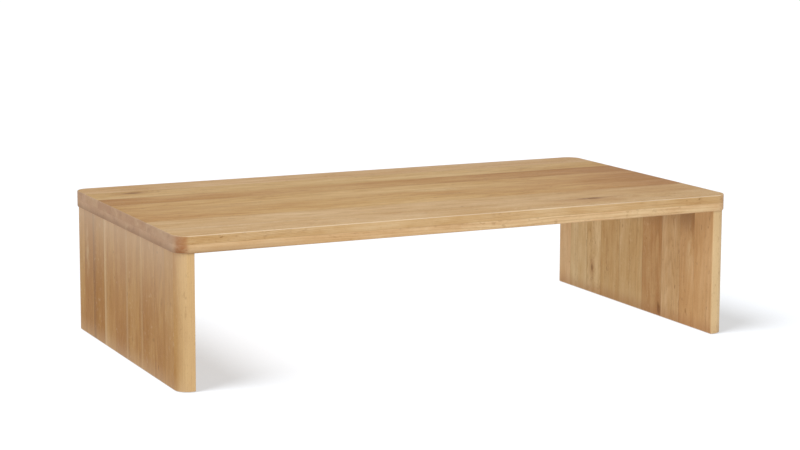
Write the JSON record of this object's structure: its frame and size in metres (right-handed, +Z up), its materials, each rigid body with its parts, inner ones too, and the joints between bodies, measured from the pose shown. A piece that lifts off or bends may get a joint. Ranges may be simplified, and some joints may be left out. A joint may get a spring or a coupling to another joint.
{
  "type": "coffee table",
  "caption": "Low solid oak coffee table: thick laminated top with rounded corners on two full-width slab legs flush with its ends.",
  "frame": {"origin": "on the floor under the middle of the table", "axes": "+X along the table's length, +Y towards its back edge, +Z up"},
  "size_m": [1.44, 0.75, 0.35],
  "materials": {
    "oak_pale": "clear matt oil, straight-grained pale oak",
    "oak_honey": "clear matt oil, honey-coloured oak",
    "oak_amber": "clear matt oil, darker orange-brown oak",
    "beech": "raw beech",
    "angle_steel": "black powder coat",
    "zinc_steel": "bright zinc plate",
    "felt": "thin grey-brown wool felt, stuck on"
  },
  "bodies": {
    "root": {"angle_bolts": "zinc_steel", "angle_screws": "zinc_steel", "bolt_washers": "zinc_steel", "felt_pads": "felt", "left_leg_angle": "angle_steel", "left_leg_stave_1": "oak_honey", "left_leg_stave_2": "oak_amber", "left_leg_stave_3": "oak_amber", "left_leg_stave_4": "oak_honey", "left_leg_stave_5": "oak_honey", "left_leg_stave_6": "oak_honey", "left_leg_stave_7": "oak_honey", "left_leg_stave_8": "oak_honey", "left_leg_stave_9": "oak_honey", "left_leg_tongue": "beech", "right_leg_angle": "angle_steel", "right_leg_stave_1": "oak_pale", "right_leg_stave_2": "oak_pale", "right_leg_stave_3": "oak_honey", "right_leg_stave_4": "oak_amber", "right_leg_stave_5": "oak_honey", "right_leg_stave_6": "oak_amber", "right_leg_stave_7": "oak_honey", "right_leg_stave_8": "oak_honey", "right_leg_stave_9": "oak_honey", "right_leg_tongue": "beech", "threaded_inserts": "zinc_steel", "top_lower_stave_1": "oak_pale", "top_lower_stave_2": "oak_honey", "top_lower_stave_3": "oak_honey", "top_lower_stave_4": "oak_honey", "top_lower_stave_5": "oak_amber", "top_lower_stave_6": "oak_pale", "top_lower_stave_7": "oak_honey", "top_lower_stave_8": "oak_pale", "top_upper_stave_1": "oak_honey", "top_upper_stave_2": "oak_pale", "top_upper_stave_3": "oak_amber", "top_upper_stave_4": "oak_honey", "top_upper_stave_5": "oak_honey", "top_upper_stave_6": "oak_honey", "top_upper_stave_7": "oak_pale", "top_upper_stave_8": "oak_pale"}
  },
  "joints": []
}
